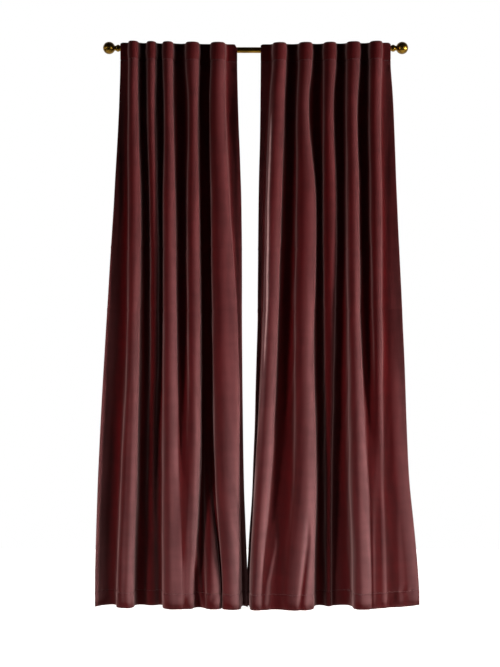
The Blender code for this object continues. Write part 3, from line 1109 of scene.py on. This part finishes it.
    def half_thickness(self, u: np.ndarray, drops: np.ndarray) -> np.ndarray:
        """Half the cloth's thickness on the grid: doubled cloth at the band, the hem and the side edges.

        Args:
            u: Distances across the flat cloth.
            drops: Drops of the rows.

        Returns:
            Half thicknesses, a row for each drop.
        """
        across, down = np.meshgrid(u, drops)
        from_edge = np.minimum(across, self.width - across)
        thick = np.full(across.shape, self.thickness)
        band = smooth_step((self.band_seam + self.seam_lap - down) / self.fold_step)
        hem = smooth_step((down - self.hem_seam + self.seam_lap) / self.fold_step)
        edge = smooth_step((self.side_hem - from_edge) / self.side_step)
        thick += (self.band_thickness - self.thickness) * np.maximum(band, self.side_share * edge)
        thick += (self.hem_thickness - self.thickness) * hem
        return (thick - self.seam_dent * self.seam_lines(down)) / 2

    def hung_row(self, drop: float, u: np.ndarray) -> np.ndarray:
        """x, y and reach of every thread at a drop.

        Args:
            drop: The row's drop.
            u: Each thread's distance across the flat cloth.

        Returns:
            Three rows of values.
        """
        x, reach = self.section(drop)
        middle = self.back_face - self.band_thickness / 2 + level_value(self.back_shift, drop)
        y = middle - self.fold_depth(x, reach) * reach - self.creased(drop, x, reach)
        length = np.concatenate([[0], np.cumsum(np.hypot(np.diff(x), np.diff(y)))])
        length *= self.width / length[-1]
        return np.stack([np.interp(u, length, part) for part in (x, y, reach)])

    def build_grid(self) -> None:
        """Hangs the cloth: places every thread of every row, then its small unevenness."""
        drops = self.row_drops()
        u = np.linspace(0, self.width, self.threads)
        x, y, reaches = np.stack([self.hung_row(drop, u) for drop in drops], axis=1)
        hang = self.rod.height(x[0])
        shoulder = self.shoulder_droop * np.square(np.clip(1 - np.abs(2 * reaches - 1), 0, 1))
        share = np.maximum(0.0, 1 - (drops + self.top_rise) / self.droop_fade)
        droop = (self.crest_droop * reaches + shoulder) * share[:, None]
        points = np.stack([x, y, hang[None, :] - drops[:, None] - droop], axis=2)
        fade = smooth_step(1 - (drops + self.top_rise) / self.corner_fade)
        for from_edge, corner_drop in zip((u, self.width - u), self.corner_drops):
            rounding = corner_drop * np.square(np.clip(1 - from_edge / self.corner_length, 0, 1))
            points[:, :, 2] -= fade[:, None] * rounding[None, :]
        # The pile's painted light and shade, from the shape before its unevenness.
        painted_light_share = self.painted_light_share(drops, points, reaches)
        points = points + self.grid_normals(points) * self.unevenness(u, drops)[:, :, None]
        normals = self.grid_normals(points)
        self.grid = ClothGrid(u, drops, points, normals, self.half_thickness(u, drops), painted_light_share)

    def painted_light_share(self, drops: np.ndarray, points: np.ndarray, reach: np.ndarray) -> np.ndarray:
        """How pale the pile's colour is painted: painted shade in hollows, on left flanks, on the band and
        on the hem's roll, and painted light by the side edges and along highlight lines.

        Args:
            drops: Drops of the rows.
            points: The grid's points.
            reach: Share of the fold depth at each point.

        Returns:
            A value for each point of the grid.
        """
        forward = -points[:, :, 1]
        span = round(self.relief_window / self.width * (self.threads - 1))
        padded = np.pad(forward, ((0, 0), (span, span)), mode="edge")
        total = np.cumsum(np.pad(padded, ((0, 0), (1, 0))), axis=1)
        around = (total[:, 2 * span + 1 :] - total[:, : -2 * span - 1]) / (2 * span + 1)
        low, high = self.relief_range
        # Painted shade in hollows and where the cloth lies behind the cloth round it.
        brushed_pile_and_painted_hollow_shade = reach * smooth_step((forward - around - low) / (high - low))
        # Painted shade on left-facing flanks.
        slope = -np.gradient(forward, self.width / (self.threads - 1), axis=1)
        leftward, rightward = self.painted_flank_slopes
        painted_flank_shade = self.left_flank_painted_shade * (1 - smooth_step((slope - leftward) / (rightward - leftward)))
        # Painted light by the side edges.
        across = np.linspace(0, self.width, self.threads)
        from_edge = np.minimum(across, self.width - across)
        painted_side_light = self.side_edge_painted_light * smooth_step(1 - from_edge / self.side_edge_light_width)
        # Painted shade on the heading band and on the hem's roll.
        band = self.band_painted_shade * smooth_step((self.band_seam - drops) / self.band_edge)
        roll = self.hem_roll_painted_shade * smooth_step((drops - self.hem_drop + self.hem_roll) / self.hem_roll)
        kept = self.crest_share * (1 - band) * (1 - roll)
        pale = np.maximum(brushed_pile_and_painted_hollow_shade * (1 - painted_flank_shade), painted_side_light[None, :]) * kept[:, None]
        start, full = self.line_reach
        forward_share = smooth_step((reach - start) / (full - start))
        # Painted highlight lines along given rows.
        for row in self.painted_highlights:
            centre = np.interp(drops, row.drops, row.x)[:, None] * MM
            onset = smooth_step((drops - row.drops[0]) / (row.drops[1] - row.drops[0]))
            ending = smooth_step((row.drops[-1] - drops) / (row.drops[-1] - row.drops[-2]))
            line = bell((points[:, :, 0] - centre) / (row.width * MM)) * forward_share
            pale += (1 - pale) * row.share * (onset * ending)[:, None] * line
        return pale

    @staticmethod
    def grid_normals(points: np.ndarray) -> np.ndarray:
        """Unit normals of a grid of points, towards the room.

        Args:
            points: The grid's points, row by row.

        Returns:
            A normal for each point.
        """
        across = np.gradient(points, axis=1)
        down = np.gradient(points, axis=0)
        normals = np.cross(down, across)
        return unit(normals)

    def skin(self, material: bpy.types.Material) -> bpy.types.Object:
        """Builds the sheet: a front and a back face, joined by a rounded rim all round.

        Args:
            material: The velvet.

        Returns:
            The panel's object.
        """
        grid = self.grid
        rows, columns = grid.points.shape[:2]
        front = grid.points + grid.normals * grid.half[:, :, None]
        back = grid.points - grid.normals * grid.half[:, :, None]
        index = np.arange(rows * columns).reshape(rows, columns)
        front_quads = np.stack([index[:-1, :-1], index[1:, :-1], index[1:, 1:], index[:-1, 1:]], axis=-1)
        back_quads = front_quads[..., ::-1] + rows * columns
        loop = np.concatenate([index[0, :-1], index[:-1, -1], index[-1, :0:-1], index[:0:-1, 0]])
        outward = self.rim_directions(grid)
        half = grid.half.reshape(-1, 1)[loop]
        rim = grid.points.reshape(-1, 3)[loop] + outward.reshape(-1, 3)[loop] * half * self.rim_share
        front_edge, back_edge = loop, loop + rows * columns
        rim_edge = np.arange(len(loop)) + 2 * rows * columns
        upper, lower = (
            np.stack([one, np.roll(one, -1), np.roll(other, -1), other], axis=1)
            for one, other in ((front_edge, rim_edge), (rim_edge, back_edge))
        )
        quads = np.concatenate([front_quads.reshape(-1, 4), back_quads.reshape(-1, 4), upper, lower])
        points = np.concatenate([front.reshape(-1, 3), back.reshape(-1, 3), rim])
        across, down = np.meshgrid(grid.u, grid.drops)
        cloth = np.stack([across.ravel(), -down.ravel()], axis=1)
        # The second UV map carries the pile's painted light and shade.
        nap = np.stack([grid.painted_light_share.ravel(), -down.ravel()], axis=1)
        uv_maps = {
            label: np.concatenate([uv, uv, uv[loop]]) for label, uv in (("cloth", cloth), ("nap", nap))
        }
        panel = mesh_object(f"velvet_panel_{self.side.value}", points, quads, uv_maps)
        panel.data.materials.append(material)
        return panel

    @staticmethod
    def rim_directions(grid: ClothGrid) -> np.ndarray:
        """Unit directions out of the cloth at its four edges.

        Args:
            grid: The hung cloth.

        Returns:
            A grid of directions, set on its border.
        """
        out = np.zeros_like(grid.points)
        out[0] += grid.points[0] - grid.points[1]
        out[-1] += grid.points[-1] - grid.points[-2]
        for edge, inner in ((0, 1), (-1, -2)):
            step = grid.points[:, edge] - grid.points[:, inner]
            out[:, edge] = unit(out[:, edge]) + unit(step)
        return unit(out)

    def stitch_line(
        self,
        name: str,
        starts: tuple[np.ndarray, np.ndarray],
        ends: tuple[np.ndarray, np.ndarray],
        face: Face,
    ) -> None:
        """Builds a row of sewn stitches as one mesh of short bent threads.

        Args:
            name: The piece's name.
            starts: u and drop of each stitch's start.
            ends: u and drop of each stitch's end.
            face: Which face of the cloth they lie on.
        """
        turn = np.linspace(0, 2 * math.pi, self.stitch.sides, endpoint=False)
        sideways, upward = np.cos(turn)[None, :, None], np.sin(turn)[None, :, None]
        (u0, d0), (u1, d1) = starts, ends
        from_point, from_normal = self.grid.surface(u0, d0, face)
        to_point, _ = self.grid.surface(u1, d1, face)
        side_way = np.cross(from_normal, unit(to_point - from_point))
        rings = []
        for share, height, radius in zip(self.stitch.shares, self.stitch.heights, self.stitch.radii):
            place, normal = self.grid.surface(u0 + (u1 - u0) * share, d0 + (d1 - d0) * share, face)
            around = sideways * side_way[:, None] + upward * normal[:, None]
            rings.append((place + normal * height)[:, None] + radius * around)
        points = np.stack(rings, axis=1).reshape(-1, 3)
        piece = mesh_object(name, points, self.stitch.quads(len(u0)))
        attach(piece, BODY)
        self.stitches.append(piece)

    def sew(self, thread: bpy.types.Material) -> None:
        """Sews the band's and the hem's stitch lines on both faces, and the side hems' on the back.

        Args:
            thread: The thread's material.
        """
        pitch, length, margin = self.stitch.pitch, self.stitch.length, self.stitch.margin
        across = np.arange(margin, self.width - margin - pitch, pitch)
        for label, drop in (("band", self.band_seam), ("hem", self.hem_seam)):
            level = np.full(len(across), drop)
            for face in Face:
                name = f"{label}_stitches_{face.name.lower()}_{self.side.value}"
                self.stitch_line(name, (across, level), (across + length, level), face)
        down = np.arange(self.band_seam + pitch, self.hem_seam - pitch, pitch * self.stitch.side_spacing)
        for label, u in (("inner", self.side_hem), ("outer", self.width - self.side_hem)):
            upright = np.full(len(down), u)
            name = f"side_stitches_{label}_{self.side.value}"
            self.stitch_line(name, (upright, down), (upright, down + length), Face.BACK)
        for line in self.stitches:
            line.data.materials.append(thread)

    def build(self, velvet: bpy.types.Material, thread: bpy.types.Material) -> bpy.types.Object:
        """Hangs the cloth, makes its skin and sews its seams.

        Args:
            velvet: The panel's cloth.
            thread: The stitches' thread.

        Returns:
            The panel's object.
        """
        self.build_grid()
        for row in (*self.folds, *self.creases, *self.dents, *self.painted_highlights):
            log.info("%s panel: %s", self.side.value, row.name)
        panel = self.skin(velvet)
        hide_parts(f"panel_{self.side.value}")
        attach(panel, BODY)
        self.sew(thread)
        return panel

    def tab_places(self) -> list[float]:
        """Places of the back tabs: the middle of each flat stretch of the heading.

        Returns:
            x of each tab in metres.
        """
        walls = [self.left_edge[0]]
        for fold in self.folds:
            if fold.reach[0]:
                walls += [fold.left[0], fold.right[0]]
        walls.append(self.right_edge[0])
        return [(walls[k] + walls[k + 1]) / 2 * MM for k in range(0, len(walls), 2)]


@dataclass
class BackTab:
    """One cloth loop behind the heading band, through which the rod runs."""

    name: str
    node: str
    x: float
    rod: RodAssembly
    width: float = 0.028
    thickness: float = 0.0015
    inner_radius: float = 0.0129
    low_angle: float = math.radians(-27.5)
    sewn_y: float = -0.0129
    edge_share: float = 0.06  # of the half width, at each rounded edge
    edge_turn: float = 0.9  # how far round the edge is carried
    steps_across: int = 9
    top_steps: int = 6
    arc_steps: int = 26
    run_steps: int = 12

    def outline(self) -> tuple[np.ndarray, np.ndarray]:
        """The loop's middle line in (y, z) about the rod's axis, and its outward normals.

        Returns:
            The points and the normals.
        """
        radius = self.inner_radius + self.thickness / 2
        angles = np.linspace(math.pi / 2, self.low_angle, self.arc_steps)
        arc = np.stack([np.cos(angles), np.sin(angles)], axis=1)
        top_y = np.linspace(self.sewn_y, 0, self.top_steps)[:-1]
        top = np.stack([top_y, np.full(len(top_y), radius)], axis=1)
        end = arc[-1] * radius
        run = (end[0] - self.sewn_y) / math.sin(-self.low_angle)
        shares = np.linspace(0, 1, self.run_steps)[1:, None]
        foot = end + run * shares * np.array([-math.sin(-self.low_angle), -math.cos(self.low_angle)])
        points = np.concatenate([top, arc * radius, foot])
        top_normals = np.tile([0.0, 1.0], (len(top), 1))
        foot_normals = np.tile(arc[-1], (len(foot), 1))
        return points, np.concatenate([top_normals, arc, foot_normals])

    def build(self, material: bpy.types.Material) -> bpy.types.Object:
        """Builds the loop as a thin strip with rounded edges.

        Args:
            material: The tab's cloth.

        Returns:
            The tab's object.
        """
        line, normals = self.outline()
        half = self.thickness / 2
        across = np.linspace(-1, 1, self.steps_across)
        turned = np.clip((np.abs(across) - 1 + self.edge_share) / self.edge_share, 0, self.edge_turn)
        edge = np.sqrt(1 - np.square(turned))
        order = np.concatenate([across, across[::-1]])
        offset = np.concatenate([edge, -edge[::-1]]) * half
        ring_x = self.x + order * self.width / 2
        points = []
        for (y, z), (ny, nz) in zip(line, normals):
            ring = np.stack([ring_x, y + ny * offset, z + nz * offset + self.rod.height(ring_x)], axis=1)
            points.append(ring)
        sides = len(order)
        quads = turned_quads(len(points), sides)
        cap = np.array([[k, k + 1, sides - 2 - k, sides - 1 - k] for k in range(self.steps_across - 1)])
        last = (len(points) - 1) * sides
        quads = np.concatenate([quads, cap[:, ::-1], cap + last])
        tab = mesh_object(self.name, np.concatenate(points), quads)
        tab.data.materials.append(material)
        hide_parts(self.node)
        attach(tab, BODY)
        return tab


# Panel tables: places read across each panel at the drops in LEVELS, in mm.

LEFT_PANEL = dict(
    left_edge=(-586, -590, -612, -651, -679, -694),
    right_edge=(-81, -78, -63, -59, -52, -35),
    left_reach=(0.00, 0.14, 0.50, 0.62, 0.64, 0.62),
    right_reach=(0.00, 0.14, 0.38, 0.66, 0.58, 0.28),
    first_groove=(0.00, 0.00, 0.05, 0.10, 0.10, 0.10),
    corner_drops=(0.004, 0.020),
    folds=(
        FoldRow(
            "fold a",
            left=(-547, -550, -550, -556, -580, -600),
            right=(-505, -507, -498, -503, -513, -528),
            reach=(0.95, 0.95, 0.95, 0.95, 0.92, 0.90),
            groove=(0.00, 0.00, 0.00, 0.00, 0.00, 0.00),
        ),
        FoldRow(
            "fold b",
            left=(-468, -468, -459, -459, -472, -477),
            right=(-429, -433, -425, -425, -438, -433),
            reach=(0.95, 0.93, 0.78, 0.42, 0.20, 0.16),
            groove=(0.00, 0.00, 0.00, 0.00, 0.00, 0.00),
        ),
        FoldRow(
            "fold c",
            left=(-399, -395, -399, -399, -401, -401),
            right=(-356, -356, -347, -340, -331, -318),
            reach=(1.00, 1.00, 1.00, 1.00, 1.00, 1.00),
            groove=(0.00, 0.00, 0.04, 0.34, 0.84, 0.93),
        ),
        FoldRow(
            "fold d",
            left=(-300, -291, -296, -291, -292, -308),
            right=(-244, -248, -244, -238, -241, -270),
            reach=(1.00, 0.97, 0.95, 0.95, 0.95, 0.88),
            groove=(0.00, 0.00, 0.00, 0.03, 0.12, 0.45),
        ),
        FoldRow(
            "small fold beside fold e",
            left=(-225, -225, -225, -220, -222, -214),
            right=(-212, -212, -210, -206, -200, -149),
            reach=(0.00, 0.00, 0.00, 0.04, 0.24, 0.92),
            groove=(0.00, 0.00, 0.00, 0.03, 0.14, 0.58),
        ),
        FoldRow(
            "fold e",
            left=(-192, -197, -192, -184, -173, -141),
            right=(-132, -132, -113, -76, -70, -63),
            reach=(1.00, 1.00, 1.00, 1.00, 1.00, 1.00),
            groove=(0.00, 0.00, 0.28, 0.66, 0.56, 0.05),
        ),
    ),
    creases=(
        CreaseRow("outer fold split", (1.40, 1.52, 1.96, 2.39), (-534, -537, -554, -568), 15, -5),
        CreaseRow("small fold at the hem", (2.10, 2.22, 2.35, 2.41), (-262, -257, -240, -222), 12, 12),
    ),
    dents=(
        DentRow("step under the band's end", -104, 0.085, 22, 0.022, -9),
        DentRow("slanting ridge in the band's end", -110, 0.020, 6, 0.022, 2.6, 700),
        DentRow("slanting trough in the band's end", -96, 0.012, 6, 0.020, -2.6, 700),
        DentRow("pucker at the hem", -300, 2.385, 13, 0.020, -4),
        DentRow("pucker beside the notch", -186, 2.375, 12, 0.022, -4, -300),
    ),
    painted_highlights=(),
)

RIGHT_PANEL = dict(
    left_edge=(23, 22, 14, 6, -11, -39),
    right_edge=(585, 594, 611, 641, 663, 712),
    left_reach=(0.00, 0.14, 0.35, 0.40, 0.25, 0.00),
    right_reach=(0.00, 0.15, 0.46, 0.50, 0.42, 0.20),
    first_groove=(0.00, 0.08, 0.22, 0.24, 0.12, 0.00),
    corner_drops=(0.004, 0.006),
    folds=(
        FoldRow(
            "fold f",
            left=(75, 64, 47, 29, -2, -25),
            right=(131, 126, 113, 92, 68, 27),
            reach=(1.00, 1.00, 1.00, 1.00, 1.00, 0.95),
            groove=(0.00, 0.00, 0.05, 0.22, 0.50, 0.74),
        ),
        FoldRow(
            "fold g",
            left=(187, 182, 178, 170, 165, 125),
            right=(243, 230, 260, 251, 262, 251),
            reach=(1.00, 1.00, 1.00, 1.00, 1.00, 1.00),
            groove=(0.00, 0.00, 0.00, 0.00, 0.00, 0.00),
        ),
        FoldRow(
            "fold h",
            left=(294, 294, 294, 299, 301, 303),
            right=(346, 337, 350, 342, 333, 333),
            reach=(0.95, 0.92, 0.80, 0.52, 0.36, 0.26),
            groove=(0.00, 0.00, 0.00, 0.00, 0.00, 0.00),
        ),
        FoldRow(
            "fold i",
            left=(393, 393, 395, 402, 408, 421),
            right=(449, 441, 447, 455, 478, 490),
            reach=(1.00, 1.00, 1.00, 1.00, 1.00, 1.00),
            groove=(0.00, 0.00, 0.08, 0.38, 0.76, 0.85),
        ),
        FoldRow(
            "fold j",
            left=(492, 492, 497, 508, 514, 518),
            right=(544, 540, 544, 547, 554, 570),
            reach=(1.00, 0.98, 0.92, 0.84, 0.70, 0.74),
            groove=(0.00, 0.08, 0.28, 0.34, 0.48, 0.52),
        ),
    ),
    creases=(
        CreaseRow("second ridge by the middle", (2.02, 2.15, 2.30, 2.41), (86, 83, 53, 42), 16, 10),
        CreaseRow("trough on the broad fold", (1.98, 2.13, 2.35, 2.41), (226, 224, 200, 192), 12, -10),
        CreaseRow("soft ridge by the outer edge", (1.20, 1.70, 2.10, 2.40), (598, 602, 606, 612), 30, 8),
    ),
    dents=(
        DentRow("step under the band's end", 564, 0.085, 22, 0.022, -9),
        DentRow("pucker by the outer fold", 592, 2.372, 12, 0.020, -6, -400),
        DentRow("pucker in the outer hem", 636, 2.350, 14, 0.016, -5, -500),
        DentRow("swelling in the outer hem", 616, 2.392, 14, 0.018, 5),
        DentRow("pucker by the outer corner", 676, 2.352, 12, 0.018, -4, -400),
    ),
    painted_highlights=(
        # Painted highlight along the inner fold's rim.
        PaintedHighlightRow("inner fold's rim", (0.06, 0.40, 0.66, 1.09, 1.95), (78, 63, 55, 50, 9), 9, 1.0),
    ),
)


# Studio


@dataclass(frozen=True)
class AreaLight:
    """One soft square light, aimed at a point of the curtains."""

    name: str
    place: tuple[float, float, float]
    target: tuple[float, float, float]
    size: float
    power: float
    spread: float = math.pi

    def build(self) -> None:
        """Adds the light."""
        data = bpy.data.lights.new(self.name, "AREA")
        data.shape = "SQUARE"
        data.size = self.size
        data.energy = self.power
        data.spread = self.spread
        lamp = bpy.data.objects.new(self.name, data)
        lamp.location = self.place
        aim = np.array(self.target) - np.array(self.place)
        lamp.rotation_euler = (
            math.atan2(math.hypot(aim[0], aim[1]), -aim[2]),
            0.0,
            math.atan2(aim[1], aim[0]) - math.pi / 2,
        )
        bpy.context.scene.collection.objects.link(lamp)


@dataclass
class Studio:
    """Camera at the viewing angle of the picture, pale floor and soft light."""

    floor_finish: FloorFinish
    camera_distance: float = 6.0
    camera_x: float = -0.0244
    camera_z: float = -1.2328
    metres_per_pixel: float = 0.00435
    picture_height: int = 667
    sensor: float = 36.0
    clip_end: float = 200.0
    floor_z: float = -2.4225
    floor_x: float = 3.0
    floor_y: Pair = (-1.8, 1.6)
    room_colour: Colour = (0.004, 0.004, 0.004, 1.0)
    wall_colour: Colour = (1.0, 1.0, 1.0, 1.0)
    wall_spread: Pair = (0.20, 0.60)
    lights: tuple[AreaLight, ...] = (
        AreaLight("key", (10.3, -3.9, -1.9), (0.0, 0.0, -5.6), 1.8, 1750.0),
        AreaLight("low key", (10.3, -3.9, -1.9), (0.0, 0.0, -2.4), 1.8, 50.0, math.radians(34)),
        AreaLight("low fill", (-7.8, -7.8, -1.9), (0.0, 0.0, -3.3), 1.8, 98.0, math.radians(34)),
        AreaLight("side", (7.8, -7.8, -1.9), (0.0, 0.0, -3.0), 1.8, 300.0),
        AreaLight("rim", (-10.0, -1.9, -0.9), (0.0, 0.0, -1.2), 1.8, 100.0),
    )

    def camera(self) -> None:
        """Adds the camera, level and square on to the rod."""
        data = bpy.data.cameras.new("camera")
        data.sensor_fit = "VERTICAL"
        data.sensor_height = self.sensor
        data.sensor_width = self.sensor
        data.lens = self.camera_distance * self.sensor / (self.metres_per_pixel * self.picture_height)
        data.clip_end = self.clip_end
        camera = bpy.data.objects.new("camera", data)
        camera.location = (self.camera_x, -self.camera_distance, self.camera_z)
        camera.rotation_euler = (math.pi / 2, 0.0, 0.0)
        bpy.context.scene.collection.objects.link(camera)
        bpy.context.scene.camera = camera

    def floor(self) -> None:
        """Adds the floor."""
        near, far = self.floor_y
        corners = ((-self.floor_x, near), (self.floor_x, near), (self.floor_x, far), (-self.floor_x, far))
        points = np.array([(x, y, self.floor_z) for x, y in corners])
        floor = mesh_object("floor", points, np.array([[0, 1, 2, 3]]))
        floor.data.materials.append(self.floor_finish.material())

    def world(self) -> None:
        """Sets a surround that is bright behind the curtains and dim in front of them."""
        world = bpy.data.worlds.new("surround")
        world.use_nodes = True
        tree = world.node_tree
        direction = tree.nodes.new("ShaderNodeTexCoord")
        parts = tree.nodes.new("ShaderNodeSeparateXYZ")
        ramp = tree.nodes.new("ShaderNodeValToRGB")
        tree.links.new(direction.outputs["Generated"], parts.inputs["Vector"])
        tree.links.new(parts.outputs["Y"], ramp.inputs["Fac"])
        tree.links.new(ramp.outputs["Color"], tree.nodes["Background"].inputs["Color"])
        for element, place, colour in zip(
            ramp.color_ramp.elements, self.wall_spread, (self.room_colour, self.wall_colour)
        ):
            element.position = place
            element.color = colour
        bpy.context.scene.world = world

    def build(self) -> None:
        """Builds the camera, floor, surround and lights."""
        self.camera()
        self.floor()
        self.world()
        for light in self.lights:
            light.build()
        bpy.context.scene.view_settings.view_transform = "Standard"


def report(label: str, pieces: Iterable[bpy.types.Object]) -> None:
    """Logs the name and the number of faces of each piece of a sub-assembly."""
    for piece in pieces:
        log.info("%s: %s, %d faces", label, piece.name, len(piece.data.polygons))


def main() -> None:
    """Builds every sub-assembly in order and logs its pieces."""
    logging.basicConfig(level=logging.INFO, format="%(message)s")
    studio = Studio(FloorFinish())
    studio.build()
    rod = RodAssembly(BrassFinish())
    report("rod", rod.build())
    velvet = VelvetFinish("maroon_velvet_finish").material()
    thread = ThreadFinish(
        "maroon_thread", (0.050, 0.012, 0.013, 1.0), (0.130, 0.045, 0.048, 1.0), Grain.TWIST
    ).material()
    tape = ThreadFinish(
        "tab_cloth_finish", (0.030, 0.006, 0.007, 1.0), (0.070, 0.016, 0.018, 1.0), Grain.TWILL
    ).material()
    for side, table, seed in ((Side.LEFT, LEFT_PANEL, 11), (Side.RIGHT, RIGHT_PANEL, 47)):
        panel = CurtainPanel(side, rod, seed=seed, **table)
        cloth = panel.build(velvet, thread)
        tabs = [
            BackTab(f"back_tab_{side.value}_{k}", f"tab_{side.value}_{k}", x, rod).build(tape)
            for k, x in enumerate(panel.tab_places(), start=1)
        ]
        report(f"{side.value} panel", [cloth, *panel.stitches, *tabs])


if __name__ == "__main__":
    main()
